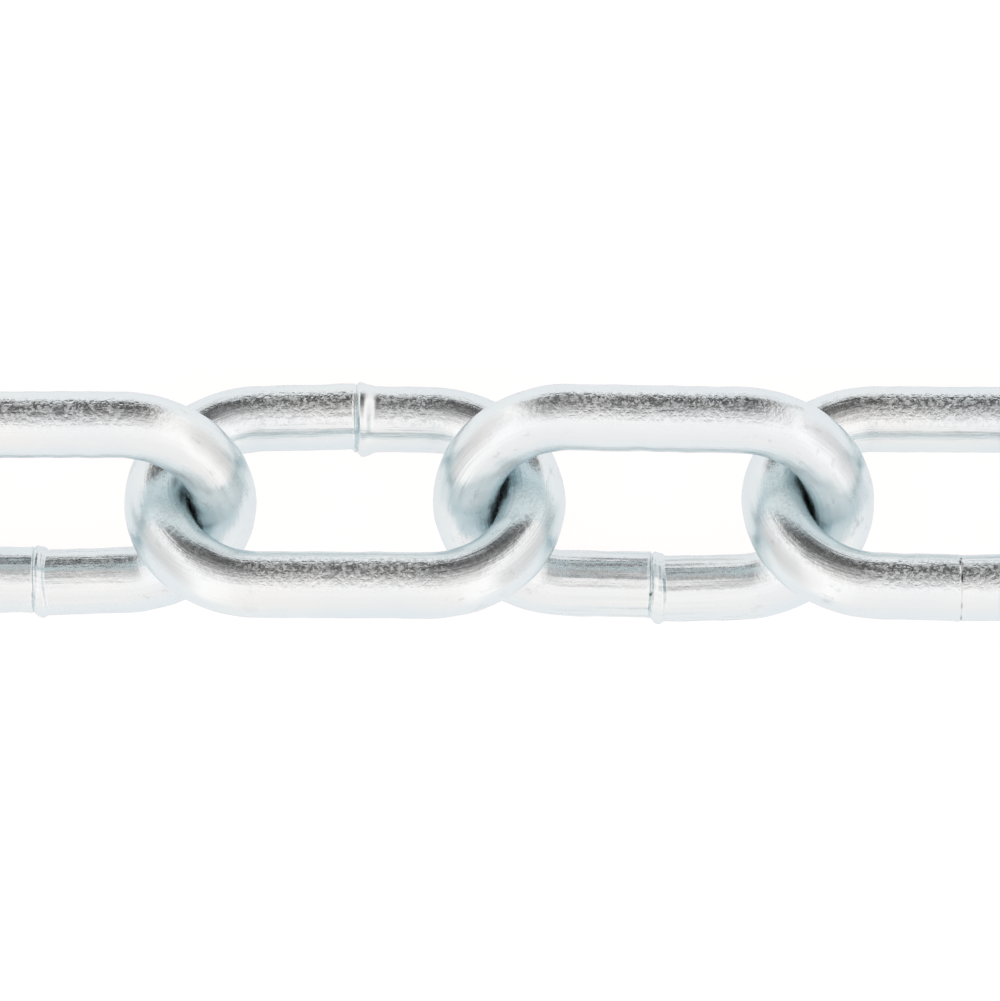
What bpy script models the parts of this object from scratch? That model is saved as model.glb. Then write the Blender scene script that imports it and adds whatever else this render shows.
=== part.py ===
"""Short-link chain of butt-welded steel wire, zinc plated: sixteen links pulled straight on a level floor.

Metres, +Z up. The chain runs along X, the floor is z = 0 and x = 0 is the middle of the chain.
The links lean to one side and the other in turn, and the lower leg of each lies on the floor.
"""
import bpy
from math import cos, pi, radians, sin, sqrt
from mathutils import Matrix, Vector

# Size of the chain: 4 mm wire, 19 mm inside each link, 16.4 mm over its legs
WIRE_DIAMETER = 0.0040
INNER_LENGTH = 0.0190
OUTER_WIDTH = 0.0164
LINK_COUNT = 16
BOW_CLEARANCE = 0.0004

# How each link lies, in degrees and metres: its lean from the floor, its yaw, and its step sideways.
# Four links have values of their own, and the others vary a little.
LEAN = 37.0
LEAN_SPREAD = 0.8
YAW_SPREAD = 0.5
SIDE_SPREAD = 0.00008
LEANS_OF_FOUR = {7: 41.5, 8: 36.8, 9: 36.4, 10: 36.4}
YAWS_OF_FOUR = {7: 0.0, 8: -0.3, 9: -1.0, 10: -0.3}
SIDES_OF_FOUR = {7: 0.0, 8: 0.0, 9: 0.0, 10: 0.0}

# How finely a link is cut into flats
BOW_STEPS = 10
BEVEL_RESOLUTION = 3
SIDES = 2 * (BEVEL_RESOLUTION + 2)

# Worked out from the sizes above
WIRE_RADIUS = WIRE_DIAMETER / 2
BOW_RADIUS = (OUTER_WIDTH - WIRE_DIAMETER) / 2
TIP_REACH = (INNER_LENGTH + WIRE_DIAMETER) / 2
LEG_HALF = TIP_REACH - BOW_RADIUS
PITCH = INNER_LENGTH - BOW_CLEARANCE
SECTION_RADIUS = WIRE_RADIUS * sqrt(2 * pi / (SIDES * sin(2 * pi / SIDES)))
SECTION_FLAT = SECTION_RADIUS * cos(pi / SIDES)
FLAT_STEP = 360 / SIDES
ROOT_LINK = LINK_COUNT // 2

ZINC_COLOUR = (0.62, 0.64, 0.66, 1.0)
ZINC_ROUGHNESS = 0.28


def clear_scene():
    """Empty the scene, whatever it held."""
    for old in list(bpy.data.objects):
        bpy.data.objects.remove(old, do_unlink=True)


def link_name(number):
    return f"link_{number:02d}"


def leans_up(number):
    """+1 where the link's +Y leg is the upper one, -1 where its -Y leg is."""
    return 1 if number % 2 else -1


def lean_of(number):
    return LEANS_OF_FOUR.get(number, LEAN + LEAN_SPREAD * sin(2.1 * number))


def yaw_of(number):
    return YAWS_OF_FOUR.get(number, YAW_SPREAD * sin(3.7 * number))


def side_of(number):
    return SIDES_OF_FOUR.get(number, SIDE_SPREAD * cos(2.9 * number))


def centreline():
    """Wire's centreline in the link's own XY plane: a half round at each end, with straight legs between."""
    points = []
    for end in (1, -1):
        for step in range(BOW_STEPS + 1):
            turn = pi * step / BOW_STEPS - end * pi / 2
            points.append(Vector((end * LEG_HALF + BOW_RADIUS * cos(turn), BOW_RADIUS * sin(turn), 0)))
    return points


def section_turn(number):
    """Turn of the wire's ten-sided section that sets one of its flats level under the lower leg."""
    return radians(FLAT_STEP - lean_of(number))


def link_matrix(number):
    """Where the link's own frame stands: its centre, lean and yaw."""
    lean = radians(lean_of(number))
    height = SECTION_FLAT + BOW_RADIUS * sin(lean)
    x = (number - (LINK_COUNT + 1) / 2) * PITCH
    place = Matrix.Translation((x, side_of(number), height))
    yaw = Matrix.Rotation(radians(yaw_of(number)), 4, "Z")
    return place @ yaw @ Matrix.Rotation(leans_up(number) * lean, 4, "X")


def pivot_matrix(number):
    """Frame of the hinge that carries a link: on the wire of the bow it hangs on, local Y along that wire."""
    inward = 1 if number < ROOT_LINK else -1
    carrier = link_matrix(number + inward)
    return carrier @ Matrix.Translation((-inward * TIP_REACH, 0, 0))


def zinc(name, number):
    """Bright zinc plate, very slightly different from link to link."""
    shade = 1 + 0.02 * sin(1.3 * number)
    material = bpy.data.materials.new(name + "_zinc")
    material.use_nodes = True
    shader = material.node_tree.nodes["Principled BSDF"]
    colour = [channel * shade for channel in ZINC_COLOUR[:3]] + [1.0]
    shader.inputs["Base Color"].default_value = colour
    shader.inputs["Metallic"].default_value = 1.0
    shader.inputs["Roughness"].default_value = ZINC_ROUGHNESS
    return material


def bent_wire(number):
    """One link: a closed wire, bent to two half rounds and two legs."""
    curve = bpy.data.curves.new(link_name(number), "CURVE")
    curve.dimensions = "3D"
    curve.twist_mode = "Z_UP"
    curve.bevel_depth = SECTION_RADIUS
    curve.bevel_resolution = BEVEL_RESOLUTION
    points = centreline()
    spline = curve.splines.new("POLY")
    spline.points.add(len(points) - 1)
    turn = section_turn(number)
    for point, place in zip(spline.points, points):
        point.co = (*place, 1.0)
        point.tilt = turn
    spline.use_cyclic_u = True
    curve.materials.append(zinc(link_name(number), number))
    return bpy.data.objects.new(link_name(number), curve)


def build_chain():
    """Make the links and the empties of their hinges, from the middle link out to both ends."""
    chain = bpy.data.collections.new("steel_chain")
    bpy.context.scene.collection.children.link(chain)
    root = bent_wire(ROOT_LINK)
    root.matrix_world = link_matrix(ROOT_LINK)
    chain.objects.link(root)
    for outward, last in ((1, LINK_COUNT), (-1, 1)):
        carrier, carrier_frame = root, link_matrix(ROOT_LINK)
        for number in range(ROOT_LINK + outward, last + outward, outward):
            frame = pivot_matrix(number)
            pivot = bpy.data.objects.new("pivot_" + link_name(number), None)
            pivot.empty_display_size = WIRE_DIAMETER
            pivot.parent = carrier
            pivot.matrix_local = carrier_frame.inverted() @ frame
            link = bent_wire(number)
            link.parent = pivot
            link.matrix_local = frame.inverted() @ link_matrix(number)
            chain.objects.link(pivot)
            chain.objects.link(link)
            carrier, carrier_frame = link, link_matrix(number)


clear_scene()
build_chain()
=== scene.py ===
"""Looks of a short-link steel chain: bright zinc-plated links with butt welds, on a white floor.

Metres, +Z up. The chain lies along X. Each link of the frame is replaced by a finely modelled one,
swept along the same line.
"""
import math
from types import SimpleNamespace

import bpy
import numpy as np
from mathutils import Matrix


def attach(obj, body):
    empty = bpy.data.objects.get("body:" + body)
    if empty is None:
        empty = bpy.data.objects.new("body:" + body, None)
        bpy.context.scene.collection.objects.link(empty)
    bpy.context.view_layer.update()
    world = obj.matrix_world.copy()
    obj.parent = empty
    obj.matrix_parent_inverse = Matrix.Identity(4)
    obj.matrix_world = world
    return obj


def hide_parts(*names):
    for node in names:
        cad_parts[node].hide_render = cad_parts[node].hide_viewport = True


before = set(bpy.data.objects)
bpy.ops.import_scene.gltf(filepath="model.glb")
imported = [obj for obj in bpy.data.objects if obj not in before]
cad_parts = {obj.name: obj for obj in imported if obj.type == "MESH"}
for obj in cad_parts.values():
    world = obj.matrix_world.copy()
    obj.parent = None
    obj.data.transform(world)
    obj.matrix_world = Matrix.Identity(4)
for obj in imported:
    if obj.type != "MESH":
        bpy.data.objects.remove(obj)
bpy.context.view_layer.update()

LINK_NAMES = sorted(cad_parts)
SEED_BASE = 100

# Digits that the frame's vertices are rounded to, so that those at one place count once
MERGE_DIGITS = 7

# Wire and bows. Unworn, two bearing bows would overlap by BEARING_WEAR, and each is worn flat
# until they miss by BEARING_GAP. The two free ends of the chain reach a little further.
WIRE_RADIUS = 0.0020
BOW_RADIUS = 0.0062
BOW_LENGTH = math.pi * BOW_RADIUS
BEARING_WEAR = 0.00002
BEARING_GAP = 0.000001
FREE_REACH = 0.01135

# Mesh of one link: points round the wire, and the spacing of its rings, which grows past the weld
SIDES = 56
WELD_SPACING = 0.00003
WELD_SPAN = 0.0012
SPACING_GROWTH = 0.12
WIRE_SPACING = 0.00022

# Angles of a ring's points, from the side that faces out of the link, and how far each lies
# round the wire from the side that faces into the link
PHI = np.arange(SIDES) * 2 * math.pi / SIDES
FROM_INNER_SIDE = np.angle(-np.exp(1j * PHI)) * WIRE_RADIUS

# How far before a bow its looks begin, and the length over which they take over from the leg's
BEND_LEAD = 0.0010
BEND_SPAN = 0.0035

# Butt welds. They sit in the lower leg, apart from three. Four have values of their own: where the
# seam is along the leg, how far the two wire ends miss each other, which side of the seam the bead
# is on, and more. What a weld has no value for is drawn at random, or is the same for all.
# Tilts are in degrees from straight up, towards -Y. Each mark along a seam has a tilt, half its
# length round the wire, half its width, and the darkness of the shade painted there.
UPPER_LEG_WELDS = ("link_03", "link_10", "link_14")
OWN_WELDS = {
    "link_07": {
        "offset": -0.00029, "step": 0.00026, "bead_side": 1, "bead_width": 0.00088,
        "burr_tilt": 200.0, "pit_tilt": 27.0,
        "matt": 0.35, "strands": 0.9,
    },
    "link_08": {
        "offset": 0.00062, "step": 0.00019, "bead_side": 1, "bead_width": 0.00130,
        "bead_height": 0.00030, "bead_fall": 0.00100,
        "burr_tilt": 90.0, "pit_tilt": 70.0, "pit_darkness": 0.0,
    },
    "link_09": {
        "offset": -0.00005, "step": 0.00034, "bead_side": 1, "bead_width": 0.00095,
        "burr_tilt": 200.0, "pit_tilt": 17.0, "pit_darkness": 0.7,
        "matt": 0.35, "strands": 1.7,
    },
    "link_10": {
        "offset": -0.00025, "step": 0.00002, "bead_side": -1, "bead_width": 0.00060,
        "bead_height": 0.00003,
        "burr_tilt": -58.0, "burr_darkness": 0.75, "pit_tilt": 180.0,
        "marks": (
            (-19.0, 0.00048, 0.00010, 0.82),
            (32.0, 0.00042, 0.00014, 0.56),
            (64.0, 0.00075, 0.00014, 0.56),
        ),
    },
}
OFFSET_SPREAD = 0.0005
STEP_SPREAD = 0.00020
BEAD_WIDTHS = (0.0007, 0.0012)

# The step is made over STEP_SPAN. Both wire ends stand out by WELD_RISE at the weld, and this
# fades over RISE_REACH.
STEP_SPAN = 0.00022
WELD_RISE = 0.00020
RISE_REACH = 0.0088
RISE_POWER = 1.3

# Relief of a weld: a bead, which rises over BEAD_RAMP and falls over BEAD_FALL, a thin lip on the
# seam's other side, the seam itself, a burr and a pit. A lower bead has a lower lip, and its seam
# keeps at least FLAT_SEAM_SHARE of the depth.
BEAD_HEIGHT = 0.00021
BEAD_RAMP = 0.00030
BEAD_FALL = 0.00032
LIP_HEIGHT = 0.00005
LIP_WIDTH = 0.00008
SEAM_DEPTH = 0.00007
SEAM_WIDTH = 0.00006
FLAT_SEAM_SHARE = 0.4
BURR_HEIGHT = 0.00020
BURR_SIZE = 0.00018
PIT_DEPTH = 0.00012
PIT_SIZE = 0.00026
PIT_NARROWING = 2.0
# How dark the shade painted in a weld's pit is
PIT_DARKNESS = 0.5

# Ripples of a weld: the height of each, and how many there are in one turn about the wire.
# Their phases are drawn at random, but for the fine cut's.
PHASES = (0, 6)
SEAM_WANDER = ((0.00004, 1), (0.00002, 4))
BEAD_MEAN = 0.85
BEAD_RIPPLES = ((0.25, 1), (0.15, 3))
WIDTH_RIPPLES = ((0.10, 2),)
CUT_MEAN = 0.5
CUT_RIPPLES = ((0.5, 3),)
FINE_CUT = (0.4, 8)
LEAST_CUT = 0.1

# Unevenness of the wire: long waves, with up to four in one turn about it, and small dents, with
# the share of the depth, the width over the length, and the width of each drawn at random
WAVE_COUNT = 14
WAVE_HEIGHT = 0.0000035
WAVE_LENGTHS = (0.0012, 0.006)
WAVE_ROUNDS = (0, 5)
DENT_COUNT = 16
DENT_DEPTH = 0.000022
DENT_SHARES = (0.3, 1.0)
DENT_ASPECTS = (0.3, 1.0)
DENT_SIZES = (0.00018, 0.0005)

# Where a bow bears on the next link: half the length and half the width of its spot of painted
# shade, where the two links meet, and of the part that may be worn flat
BEARING_SPOT_LENGTH = 0.00070
BEARING_SPOT_WIDTH = 0.00025
WEAR_LENGTH = 0.0015
WEAR_WIDTH = 0.0008

# Matt side of the wire: its tilt from straight up towards +Y, in degrees, the facings where it
# starts and is full, how much of it is left on the bows, and how many widths the smooth part of a
# weld goes from the middle of its bead
MATT_TILT = 22.0
MATT_FACING = (0.80, 0.92)
MATT_ON_BOWS = 0.2
SMOOTH_WIDTHS = 0.65

# Noises of the plating, which run along the wire and round it: scale, detail and roughness
NOISES = {
    "ragged": ((2500, 2500, 2500), 2.0, 0.5),
    "clouds": ((160, 260, 260), 3.0, 0.5),
    "scratches": ((900, 1400, 1400), 5.0, 0.72),
    "grains": ((3600, 3600, 3600), 2.0, 0.65),
    "lines": ((90, 3800, 3800), 4.0, 0.65),
    "broad_lines": ((70, 1700, 1700), 1.0, 0.5),
    "dimples": ((600, 800, 800), 2.0, 0.5),
    "patches": ((500, 500, 500), 3.0, 0.5),
}

# Colours of the plate: in dull and bright clouds, in painted shade where links meet and at welds,
# and in faint scuffs
ZINC_DULL = (0.705, 0.805, 0.835)
ZINC_BRIGHT = (0.735, 0.820, 0.835)
# The near-black colour below is painted shade: in the crevice where two links meet, and in weld
# pits and seams
PAINTED_SHADE = (0.018, 0.030, 0.036)
SCUFFED = (0.43, 0.49, 0.51)
SPECULAR_TINT = (0.90, 0.94, 0.96)

# Ranges of the noises over which clouds, painted shade and scuffs come in, and what they reach
CLOUD_RANGE = (0.35, 0.65)
RAGGEDNESS = (-0.06, 0.06)
PAINTED_SHADE_RANGE = (0.35, 0.75)
SCUFF_RANGE = (0.56, 0.72)
SCUFF_STRENGTH = (0.0, 0.45)

# Roughness of the plate in its patches, and what matt grains, scuffs, strands and painted shade add
# to it
PATCH_RANGE = (0.3, 0.7)
PATCH_ROUGHNESS = (0.20, 0.28)
GRAIN_RANGE = (0.46, 0.62)
GRAIN_ROUGHNESS = (-0.12, 0.26)
SCUFF_ROUGHNESS = 0.25
STRAND_ROUGHNESS = 0.03
PAINTED_SHADE_ROUGHNESS = 0.3

# Heights of the plate's relief: grains on smooth and on matt wire, dimples and their share on the
# bows, drawing lines, and the broad strands of two legs
GRAIN_HEIGHTS = (0.000006, 0.000075)
DIMPLE_HEIGHT = 0.000024
DIMPLES_ON_BOWS = 0.25
LINE_HEIGHT = 0.000030
STRAND_HEIGHT = 0.000110

# Floor, just under the chain. Most of its white is a glow, so it shows no shade.
FLOOR_LEVEL = -0.00001
FLOOR_SIZE = 30.0
FLOOR_COLOUR = (0.10, 0.105, 0.11)
FLOOR_GLOW = (1.00, 0.93, 0.92)
FLOOR_ROUGHNESS = 0.9

# White tent. Its middle strip runs over the top from -Y to +Y: Y of the direction and brightness.
TENT_STRIP = (
    (-1.0, 0.84), (-0.6, 0.87), (-0.30, 0.93), (-0.14, 0.91), (0.0, 0.79),
    (0.12, 0.68), (0.24, 0.62), (0.41, 0.49), (0.57, 0.32), (0.72, 0.20),
    (0.85, 0.12), (0.94, 0.06), (1.0, 0.04),
)
# Its two sides are brighter: X of the direction, to either side, and brightness. A side starts
# at the first X of SIDE_REACH and is full at the second.
TENT_SIDES = ((0.58, 1.04), (0.84, 0.74), (1.0, 0.62))
SIDE_REACH = (0.30, 0.64)
# Under the horizon it is even, and the rest takes over between the two Z of LOW_REACH. The tint of
# the tent makes up for the zinc's. The camera sees plain white in its place.
TENT_LOW = 0.82
LOW_REACH = (0.0, 0.06)
TENT_TINT = (1.385, 1.230, 1.197)
SEEN_WHITE = (1.0, 1.0, 1.0)

# Camera: straight down, image up along +Y. The view is VIEW_WIDTH wide at AXIS_LEVEL.
VIEW_WIDTH = 0.0603
AXIS_LEVEL = 0.0057
CAMERA_PLACE = (0.00005, 0.00009, 0.60)
SENSOR_WIDTH = 36.0
CLIP_START = 0.01
CLIP_END = 100.0


def link_number(name):
    return int(name.split("_")[1])


def link_frame(name):
    """The frame link's own axes, from its vertices: long axis, width axis, plane normal, centre."""
    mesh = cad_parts[name].data
    points = np.empty(len(mesh.vertices) * 3)
    mesh.vertices.foreach_get("co", points)
    points = np.unique(points.reshape(-1, 3).round(MERGE_DIGITS), axis=0)
    centre = (points.min(axis=0) + points.max(axis=0)) / 2
    axes = np.linalg.svd(points - centre, full_matrices=False)[2]
    along = axes[0] * np.sign(axes[0][0])
    across = axes[1] * np.sign(axes[1][1])
    columns = np.stack([along, across, np.cross(along, across), centre], 1)
    return Matrix((*columns.tolist(), (0, 0, 0, 1)))


def in_frame(points, place):
    """Points given along a link's own axes, in the shared frame."""
    matrix = np.array(place)
    return points @ matrix[:3, :3].T + matrix[:3, 3]


def smooth_step(values):
    values = np.clip(values, 0, 1)
    return values * values * (3 - 2 * values)


def spot(along, side, size):
    """A round spot that is 1 where along is 0, on the side of the wire at angle side."""
    around = np.angle(np.exp(1j * (PHI - side)))[None] * WIRE_RADIUS
    return np.exp(-(along**2 + around**2) / size**2)


def ripple(mean, waves, rng):
    """A mean with waves about the wire: the height of each and its rounds, at random phases."""
    total = mean
    for height, rounds in waves:
        total = total + height * np.cos(rounds * PHI + rng.uniform(*PHASES))
    return total


def tilted_up(tilt):
    """The direction that leans tilt degrees from straight up, towards +Y."""
    tilt = math.radians(tilt)
    return np.array((0.0, math.sin(tilt), math.cos(tilt)))


def side_facing(place, side, tilt):
    """Angle about the welded leg's wire of the side that faces up, tilt degrees towards -Y."""
    facing = tilted_up(-tilt)
    matrix = np.array(place)
    return math.atan2(facing @ matrix[:3, 2], side * (facing @ matrix[:3, 1]))


def weld_side(name, place):
    """+1 or -1: the sign of the link's own Y for the leg that holds the weld."""
    upper = 1 if place.col[1][2] > 0 else -1
    return upper if name in UPPER_LEG_WELDS else -upper


def weld_values(name, place, rng):
    """One link's weld: its own values, and drawn or common ones where it has none.

    The draws are made for every weld, so that each link's later draws stay the same.
    """
    own = OWN_WELDS.get(name, {})
    side = weld_side(name, place)
    offset = own.get("offset", rng.uniform(-OFFSET_SPREAD, OFFSET_SPREAD))
    step = own.get("step", rng.uniform(-STEP_SPREAD, STEP_SPREAD))
    bead_side = own.get("bead_side", rng.choice((-1, 1)))
    bead_width = own.get("bead_width", rng.uniform(*BEAD_WIDTHS))
    burr_tilt = own.get("burr_tilt", rng.uniform(0, 360))
    pit_tilt = own.get("pit_tilt", rng.uniform(0, 360))
    bead_height = own.get("bead_height", BEAD_HEIGHT)
    marks = own.get("marks", ())
    return SimpleNamespace(
        side=side,
        x=side * offset,
        step=step,
        bead_side=-side * bead_side,
        bead_width=bead_width,
        bead_height=bead_height,
        bead_share=min(1.0, bead_height / BEAD_HEIGHT),
        bead_fall=own.get("bead_fall", BEAD_FALL),
        burr=side_facing(place, side, burr_tilt),
        burr_darkness=own.get("burr_darkness", 0.0),
        pit=side_facing(place, side, pit_tilt),
        pit_darkness=own.get("pit_darkness", PIT_DARKNESS),
        marks=[(side_facing(place, side, tilt), *rest) for tilt, *rest in marks],
        matt=own.get("matt", 1.0),
        strands=own.get("strands", 0.0),
    )


def ring_places(length):
    """Distances of the rings from the weld along the centreline, close together at the weld."""
    half = [0.0]
    while half[-1] < length / 2:
        past = max(0.0, half[-1] - WELD_SPAN)
        half.append(half[-1] + min(WIRE_SPACING, WELD_SPACING + SPACING_GROWTH * past))
    half = np.array(half) * (length / 2 / half[-1])
    return np.concatenate([half, length - half[-2:0:-1]])


def centreline(s, weld_x, low_leg, high_leg):
    """Points and turns of the centreline at distances s from a weld on the +Y leg.

    The legs run from -low_leg to high_leg along X. The line leaves the weld towards -X.
    """
    ends = np.cumsum([0, low_leg + weld_x, BOW_LENGTH, low_leg + high_leg, BOW_LENGTH])
    x, y, turn = np.empty_like(s), np.empty_like(s), np.empty_like(s)
    leg = s <= ends[1]
    x[leg], y[leg], turn[leg] = weld_x - s[leg], BOW_RADIUS, math.pi
    leg = (s > ends[2]) & (s <= ends[3])
    x[leg], y[leg], turn[leg] = s[leg] - ends[2] - low_leg, -BOW_RADIUS, 2 * math.pi
    leg = s > ends[4]
    x[leg], y[leg], turn[leg] = high_leg - (s[leg] - ends[4]), BOW_RADIUS, 3 * math.pi
    for start, stop, middle, first in (
        (ends[1], ends[2], -low_leg, 0.5),
        (ends[3], ends[4], high_leg, 1.5),
    ):
        bow = (s > start) & (s <= stop)
        angle = first * math.pi + (s[bow] - start) / BOW_RADIUS
        x[bow], y[bow] = middle + BOW_RADIUS * np.cos(angle), BOW_RADIUS * np.sin(angle)
        turn[bow] = angle + math.pi / 2
    return np.stack([x, y], 1), turn


def wire_path(weld, low_reach, high_reach):
    """The rings of one link's wire in the link's own plane, from the weld round to it again.

    s is each ring's distance from the weld that way round, away its distance to either side,
    and from_crown its distance from the crown of its bow. outward points out of the link. bend
    goes from 0 on the legs to 1 on the bows, and welded_leg from 0 on the plain leg to 1.
    """
    low_leg, high_leg = low_reach - BOW_RADIUS, high_reach - BOW_RADIUS
    if weld.side < 0:
        low_leg, high_leg = high_leg, low_leg
    length = 2 * (low_leg + high_leg) + 2 * BOW_LENGTH
    s = ring_places(length)
    points, turn = centreline(s, weld.x, low_leg, high_leg)
    past_leg = np.abs(points[:, 0] - (high_leg - low_leg) / 2) - (low_leg + high_leg) / 2
    from_crown = BOW_RADIUS * np.arcsin(np.clip(points[:, 1] / BOW_RADIUS, -1, 1))

    outward = np.stack([np.sin(turn), -np.cos(turn)], 1)
    away = np.where(s < length / 2, s, s - length)
    fade = np.clip(1 - np.abs(away) / RISE_REACH, 0, 1) ** RISE_POWER
    miss = 0.5 * weld.step * np.tanh((away - weld.bead_side * BEAD_RAMP) / STEP_SPAN)
    points = points + outward * ((WELD_RISE + miss) * fade)[:, None]
    return SimpleNamespace(
        length=length,
        s=s,
        away=away,
        points=points,
        outward=outward,
        on_bow=past_leg >= 0,
        from_crown=from_crown,
        bend=smooth_step((past_leg + BEND_LEAD) / BEND_SPAN),
        welded_leg=smooth_step((points[:, 1] / BOW_RADIUS + 1) / 2),
    )


def bearing_spots(path):
    """1 in the middle of the spots where the bows bear on the next links, down to 0 round them."""
    along = (path.from_crown / BEARING_SPOT_LENGTH) ** 2
    around = (FROM_INNER_SIDE / BEARING_SPOT_WIDTH) ** 2
    spots = np.exp(-along[:, None] - around[None])
    spots[~path.on_bow] = 0
    return spots


def wire_unevenness(path, rng):
    """Long waves and small dents of the wire, over its round section."""
    height = np.zeros((len(path.s), SIDES))
    for _ in range(WAVE_COUNT):
        wave = rng.uniform(*WAVE_LENGTHS)
        rounds = rng.integers(*WAVE_ROUNDS)
        phase = rng.uniform(0, 2 * math.pi)
        angle = 2 * math.pi * path.s[:, None] / wave + rounds * PHI[None] + phase
        height += WAVE_HEIGHT * np.cos(angle)
    for _ in range(DENT_COUNT):
        along = (path.s[:, None] - rng.uniform(0, path.length)) * rng.uniform(*DENT_ASPECTS)
        side = rng.uniform(0, 2 * math.pi)
        depth = DENT_DEPTH * rng.uniform(*DENT_SHARES)
        height -= depth * spot(along, side, rng.uniform(*DENT_SIZES))
    return height


def weld_relief(path, weld, rng):
    """Height of the weld over the wire, and the places of its pit and its burr."""
    away = weld.bead_side * path.away[:, None] - ripple(0.0, SEAM_WANDER, rng)
    uneven = ripple(BEAD_MEAN, BEAD_RIPPLES, rng)
    width = weld.bead_width * ripple(1.0, WIDTH_RIPPLES, rng)
    rise = smooth_step(away / BEAD_RAMP) * smooth_step((width - away) / weld.bead_fall)
    lip = np.exp(-(((away + LIP_WIDTH) / LIP_WIDTH) ** 2))
    fine_cut = FINE_CUT[0] * np.cos(FINE_CUT[1] * PHI)
    cut = np.clip(ripple(CUT_MEAN, CUT_RIPPLES, rng) + fine_cut, LEAST_CUT, 1)
    seam = np.exp(-((away / SEAM_WIDTH) ** 2))
    pit = spot(PIT_NARROWING * away, weld.pit, PIT_SIZE)
    burr = spot(away, weld.burr, BURR_SIZE)
    relief = weld.bead_height * uneven * rise + weld.bead_share * LIP_HEIGHT * uneven**2 * lip
    seam_depth = max(weld.bead_share, FLAT_SEAM_SHARE) * SEAM_DEPTH
    relief -= seam_depth * cut * seam + PIT_DEPTH * pit
    return relief + BURR_HEIGHT * burr, pit, burr


def weld_painted_shade(path, weld, pit, burr):
    """Painted shade at the weld: how dark its pit, burr and marks along the seam are."""
    dark = np.maximum(pit * weld.pit_darkness, burr * weld.burr_darkness)
    for side, reach, breadth, darkness in weld.marks:
        mark = spot(path.away[:, None] * reach / breadth, side, reach)
        dark = np.maximum(dark, darkness * mark)
    return dark


def wear_flat(points, path, place, half_pitch):
    """Move the bearing bows' inner sides out to the plane half way to the next link."""
    from_centre = points[:, 0] - place.col[3][0]
    level = half_pitch + BEARING_GAP / 2
    near_crown = path.on_bow & (np.abs(path.from_crown) < WEAR_LENGTH)
    near = near_crown[:, None] & (np.abs(FROM_INNER_SIDE) < WEAR_WIDTH)[None]
    worn = near.ravel() & (np.abs(from_centre) < level)
    points[worn, 0] += (np.sign(from_centre) * level - from_centre)[worn]


def matt_side(path, weld, place):
    """How matt each point is: on one side of the legs, less so on the bows and not on a bead."""
    facing = np.zeros((len(path.s), SIDES, 3))
    facing[:, :, :2] = weld.side * np.cos(PHI)[None, :, None] * path.outward[:, None]
    facing[:, :, 2] = np.sin(PHI)
    facing = facing @ np.array(place)[:3, :3].T @ tilted_up(MATT_TILT)
    matt = smooth_step((facing - MATT_FACING[0]) / (MATT_FACING[1] - MATT_FACING[0]))

    from_bead = weld.bead_side * path.away - weld.bead_width / 2
    from_bead = from_bead / (SMOOTH_WIDTHS * weld.bead_width)
    smoothed = weld.bead_share * np.exp(-(from_bead**4))
    grained = (1 - smoothed) * (1 - (1 - MATT_ON_BOWS) * path.bend)
    grained *= 1 + (weld.matt - 1) * path.welded_leg
    return matt * grained[:, None]


def closed_tube(rings):
    """Faces of a tube that closes on itself, ring by ring."""
    index = np.arange(rings * SIDES).reshape(rings, SIDES)
    next_ring, next_side = np.roll(index, -1, axis=0), np.roll(index, -1, axis=1)
    corner = np.roll(next_ring, -1, axis=1)
    return np.stack([index, next_ring, corner, next_side], -1).reshape(-1, 4)


def link_mesh(name, place, low_reach, high_reach, half_pitch):
    """Sweep one link's wire along its centreline, with the values that its material reads."""
    rng = np.random.default_rng(SEED_BASE + link_number(name))
    weld = weld_values(name, place, rng)
    path = wire_path(weld, low_reach, high_reach)
    bearing = bearing_spots(path)
    radii = WIRE_RADIUS + wire_unevenness(path, rng) * (1 - bearing)
    relief, pit, burr = weld_relief(path, weld, rng)
    radii += relief

    local = np.zeros((len(path.s), SIDES, 3))
    outward = (radii * np.cos(PHI))[:, :, None] * path.outward[:, None]
    local[:, :, :2] = path.points[:, None] + outward
    local[:, :, 2] = radii * np.sin(PHI)
    local[:, :, :2] *= weld.side
    points = in_frame(local.reshape(-1, 3), place)
    points[:, 2] = np.maximum(points[:, 2], 0.0)
    wear_flat(points, path, place, half_pitch)

    # Place along and round the wire for the noises, each link further along than the last
    wire = np.empty_like(local)
    wire[:, :, 0] = path.s[:, None] + link_number(name) * path.length
    wire[:, :, 1] = WIRE_RADIUS * np.cos(PHI)
    wire[:, :, 2] = WIRE_RADIUS * np.sin(PHI)
    strands = weld.strands * path.welded_leg * (1 - path.bend)
    looks = {
        "bend": np.repeat(path.bend, SIDES),
        "strands": np.repeat(strands, SIDES),
        # Where shade is painted: the bearing spots where links meet, and the weld's pit, burr and
        # seam marks
        "painted_shade_mask": np.maximum(bearing, weld_painted_shade(path, weld, pit, burr)).ravel(),
        "matt": matt_side(path, weld, place).ravel(),
    }
    mesh = bpy.data.meshes.new(name + "_zinc")
    mesh.from_pydata(points.tolist(), [], closed_tube(len(path.s)).tolist())
    mesh.update()
    layer = mesh.attributes.new("wire", "FLOAT_VECTOR", "POINT")
    layer.data.foreach_set("vector", wire.ravel())
    for look, values in looks.items():
        layer = mesh.attributes.new(look, "FLOAT", "POINT")
        layer.data.foreach_set("value", values)
    mesh.shade_smooth()
    return mesh


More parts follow.
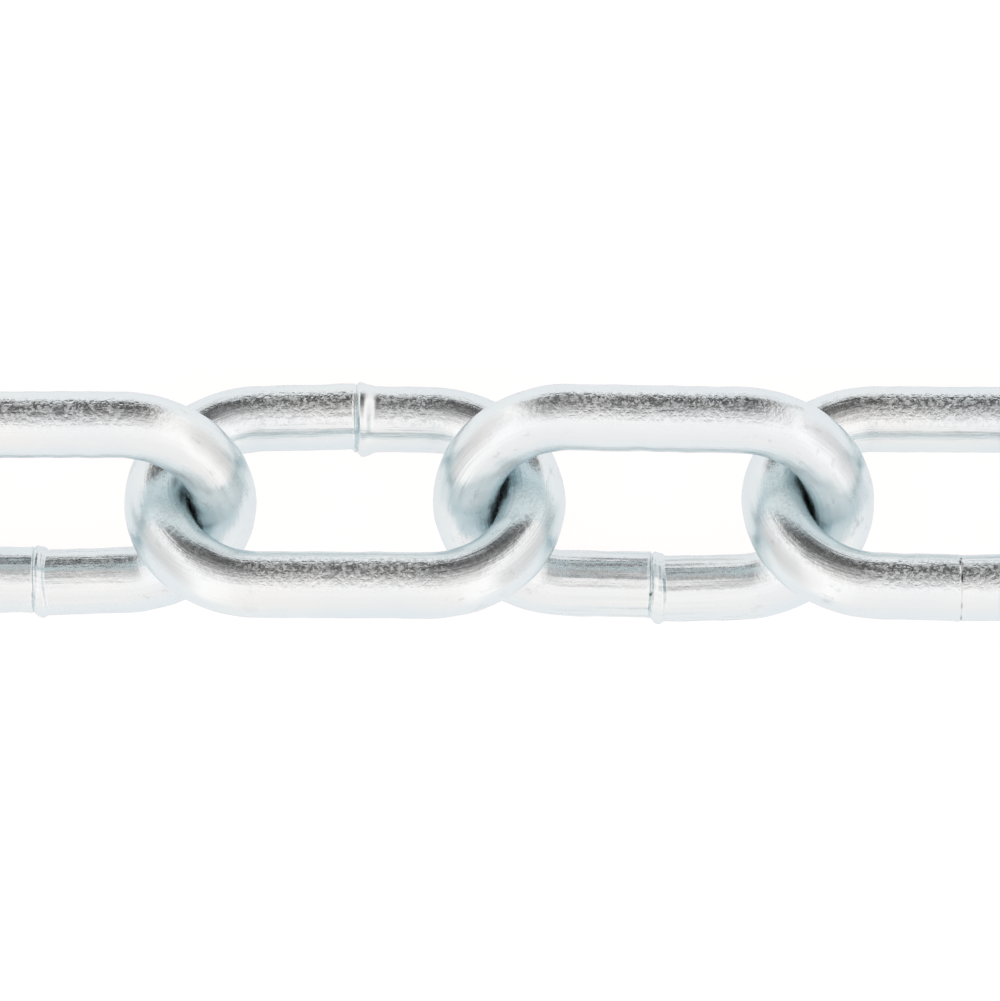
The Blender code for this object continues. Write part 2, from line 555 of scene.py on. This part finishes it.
class Nodes:
    """Short ways to add shader nodes and to feed their sockets."""

    def __init__(self, tree):
        self.tree = tree

    def add(self, kind, **values):
        node = self.tree.nodes.new("ShaderNode" + kind)
        for key, value in values.items():
            setattr(node, key, value)
        return node

    def feed(self, socket, value):
        """Set a number or a colour, or link another socket."""
        if isinstance(value, (int, float)):
            socket.default_value = value
        elif isinstance(value, tuple):
            socket.default_value = (*value, 1.0)
        else:
            self.tree.links.new(value, socket)

    def attribute(self, name, output="Fac"):
        return self.add("Attribute", attribute_name=name).outputs[output]

    def math(self, operation, *values):
        """Take values together with one operation, from left to right."""
        result = values[0]
        for value in values[1:]:
            node = self.add("Math", operation=operation)
            self.feed(node.inputs[0], result)
            self.feed(node.inputs[1], value)
            result = node.outputs["Value"]
        return result

    def noise(self, source, scale, detail, roughness):
        mapping = self.add("Mapping", vector_type="POINT")
        mapping.inputs["Scale"].default_value = scale
        self.feed(mapping.inputs["Vector"], source)
        node = self.add("TexNoise")
        self.feed(node.inputs["Vector"], mapping.outputs["Vector"])
        for name, value in (("Scale", 1.0), ("Detail", detail), ("Roughness", roughness)):
            self.feed(node.inputs[name], value)
        return node.outputs["Fac"]

    def ramp(self, source, stops):
        node = self.add("ValToRGB")
        elements = node.color_ramp.elements
        while len(elements) < len(stops):
            elements.new(0.5)
        for element, (place, colour) in zip(elements, stops):
            element.position = place
            element.color = (*colour, 1.0)
        self.feed(node.inputs["Fac"], source)
        return node.outputs["Color"]

    def span(self, source, source_range, target_range=(0.0, 1.0), smooth=False):
        """Map one range of numbers to another, held at its ends."""
        kind = "SMOOTHSTEP" if smooth else "LINEAR"
        node = self.add("MapRange", interpolation_type=kind)
        names = ("From Min", "From Max", "To Min", "To Max")
        for name, value in zip(names, (*source_range, *target_range)):
            self.feed(node.inputs[name], value)
        self.feed(node.inputs["Value"], source)
        return node.outputs["Result"]

    def mix(self, factor, a, b):
        """Blend two colours, each a socket or a tuple."""
        node = self.add("Mix", data_type="RGBA")
        for name, value in (("Factor", factor), ("A", a), ("B", b)):
            self.feed(node.inputs[name], value)
        return node.outputs["Result"]


def zinc_material():
    """Blue-passivated zinc plate over drawn wire: matt grains, drawing lines, and near-black
    painted shade where links meet and at welds.
    """
    material = bpy.data.materials.new("bright_zinc_plate")
    material.use_nodes = True
    nodes = Nodes(material.node_tree)
    shader = material.node_tree.nodes["Principled BSDF"]
    wire = nodes.attribute("wire", "Vector")
    bend, strands = nodes.attribute("bend"), nodes.attribute("strands")
    painted_shade_mask, matt = nodes.attribute("painted_shade_mask"), nodes.attribute("matt")
    noises = {name: nodes.noise(wire, *values) for name, values in NOISES.items()}

    ragged = nodes.math("ADD", painted_shade_mask, nodes.span(noises["ragged"], (0.0, 1.0), RAGGEDNESS))
    shaded = nodes.span(ragged, PAINTED_SHADE_RANGE, smooth=True)
    plate = nodes.ramp(noises["clouds"], list(zip(CLOUD_RANGE, (ZINC_DULL, ZINC_BRIGHT))))
    scratched = nodes.span(noises["scratches"], SCUFF_RANGE, SCUFF_STRENGTH, smooth=True)
    scuffs = nodes.math("MULTIPLY", scratched, bend)
    plate = nodes.mix(scuffs, plate, SCUFFED)
    # Base colour goes near black where shade is painted between links and at welds
    nodes.feed(shader.inputs["Base Color"], nodes.mix(shaded, plate, PAINTED_SHADE))

    etched = nodes.span(noises["grains"], GRAIN_RANGE, GRAIN_ROUGHNESS)
    roughness = nodes.math(
        "ADD",
        nodes.span(noises["patches"], PATCH_RANGE, PATCH_ROUGHNESS),
        nodes.math("MULTIPLY", etched, matt),
        nodes.math("MULTIPLY", scuffs, SCUFF_ROUGHNESS),
        nodes.math("MULTIPLY", strands, STRAND_ROUGHNESS),
        nodes.math("MULTIPLY", shaded, PAINTED_SHADE_ROUGHNESS),
    )
    nodes.feed(shader.inputs["Roughness"], roughness)

    grain_height = nodes.span(matt, (0.0, 1.0), GRAIN_HEIGHTS)
    dimple_share = nodes.span(bend, (0.0, 1.0), (1.0, DIMPLES_ON_BOWS))
    grainy = nodes.math("MULTIPLY", noises["grains"], grain_height)
    dimpled = nodes.math("MULTIPLY", noises["dimples"], dimple_share, DIMPLE_HEIGHT)
    streaky = nodes.math("MULTIPLY", noises["lines"], LINE_HEIGHT)
    stranded = nodes.math("MULTIPLY", noises["broad_lines"], strands, STRAND_HEIGHT)
    skin, drawn = nodes.math("ADD", grainy, dimpled), nodes.math("ADD", streaky, stranded)
    bump = nodes.add("Bump")
    for name, value in (("Strength", 1.0), ("Distance", 1.0)):
        nodes.feed(bump.inputs[name], value)
    nodes.feed(bump.inputs["Height"], nodes.math("ADD", skin, drawn))
    nodes.feed(shader.inputs["Normal"], bump.outputs["Normal"])

    shader.inputs["Metallic"].default_value = 1.0
    shader.inputs["Specular Tint"].default_value = (*SPECULAR_TINT, 1.0)
    return material


def dress_links():
    """Replace every link of the frame by its detailed one, on the same body."""
    zinc = zinc_material()
    places = [link_frame(name) for name in LINK_NAMES]
    half_pitch = (places[1].col[3][0] - places[0].col[3][0]) / 2
    bearing_reach = half_pitch + WIRE_RADIUS - BEARING_WEAR / 2
    reaches = [FREE_REACH, *[bearing_reach] * (len(places) - 1), FREE_REACH]
    for name, place, low_reach, high_reach in zip(LINK_NAMES, places, reaches, reaches[1:]):
        mesh = link_mesh(name, place, low_reach, high_reach, half_pitch)
        piece = bpy.data.objects.new(name + "_zinc", mesh)
        bpy.context.scene.collection.objects.link(piece)
        mesh.materials.append(zinc)
        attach(piece, name)
        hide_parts(name)


def make_floor():
    """A wide, plain white floor."""
    bpy.ops.mesh.primitive_plane_add(size=FLOOR_SIZE, location=(0, 0, FLOOR_LEVEL))
    floor = bpy.context.object
    floor.name = "studio_floor"
    material = bpy.data.materials.new("white_floor")
    material.use_nodes = True
    shader = material.node_tree.nodes["Principled BSDF"]
    shader.inputs["Base Color"].default_value = (*FLOOR_COLOUR, 1.0)
    shader.inputs["Emission Color"].default_value = (*FLOOR_GLOW, 1.0)
    shader.inputs["Emission Strength"].default_value = 1.0
    shader.inputs["Roughness"].default_value = FLOOR_ROUGHNESS
    shader.inputs["Specular IOR Level"].default_value = 0.0
    floor.data.materials.append(material)


def tent_colour(brightness):
    return tuple(brightness * channel for channel in TENT_TINT)


def tent_stops(places_and_levels):
    """Stops of a ramp through the tent: each a place and the tinted colour of its brightness."""
    return [(place, tent_colour(level)) for place, level in places_and_levels]


def make_world():
    """White tent all round, dark low on its +Y side, which draws the dark band on every leg."""
    world = bpy.data.worlds.new("white_tent")
    world.use_nodes = True
    bpy.context.scene.world = world
    bpy.context.scene.view_settings.view_transform = "Standard"
    nodes = Nodes(world.node_tree)
    axes = nodes.add("SeparateXYZ")
    nodes.feed(axes.inputs["Vector"], nodes.add("TexCoord").outputs["Generated"])
    along_strip = nodes.span(axes.outputs["Y"], (-1.0, 1.0))
    strip = nodes.ramp(along_strip, tent_stops(((y + 1) / 2, level) for y, level in TENT_STRIP))
    across = nodes.math("ABSOLUTE", axes.outputs["X"], 0.0)
    sides = nodes.ramp(across, tent_stops(TENT_SIDES))
    above = nodes.mix(nodes.span(across, SIDE_REACH, smooth=True), strip, sides)
    raised = nodes.span(axes.outputs["Z"], LOW_REACH, smooth=True)
    light = nodes.mix(raised, tent_colour(TENT_LOW), above)
    seen = nodes.mix(nodes.add("LightPath").outputs["Is Camera Ray"], light, SEEN_WHITE)
    nodes.feed(world.node_tree.nodes["Background"].inputs["Color"], seen)


def make_camera():
    data = bpy.data.cameras.new("camera")
    data.sensor_width = SENSOR_WIDTH
    data.lens = data.sensor_width * (CAMERA_PLACE[2] - AXIS_LEVEL) / VIEW_WIDTH
    data.clip_start = CLIP_START
    data.clip_end = CLIP_END
    camera = bpy.data.objects.new("camera", data)
    camera.location = CAMERA_PLACE
    bpy.context.scene.collection.objects.link(camera)
    bpy.context.scene.camera = camera


make_camera()
dress_links()
make_floor()
make_world()
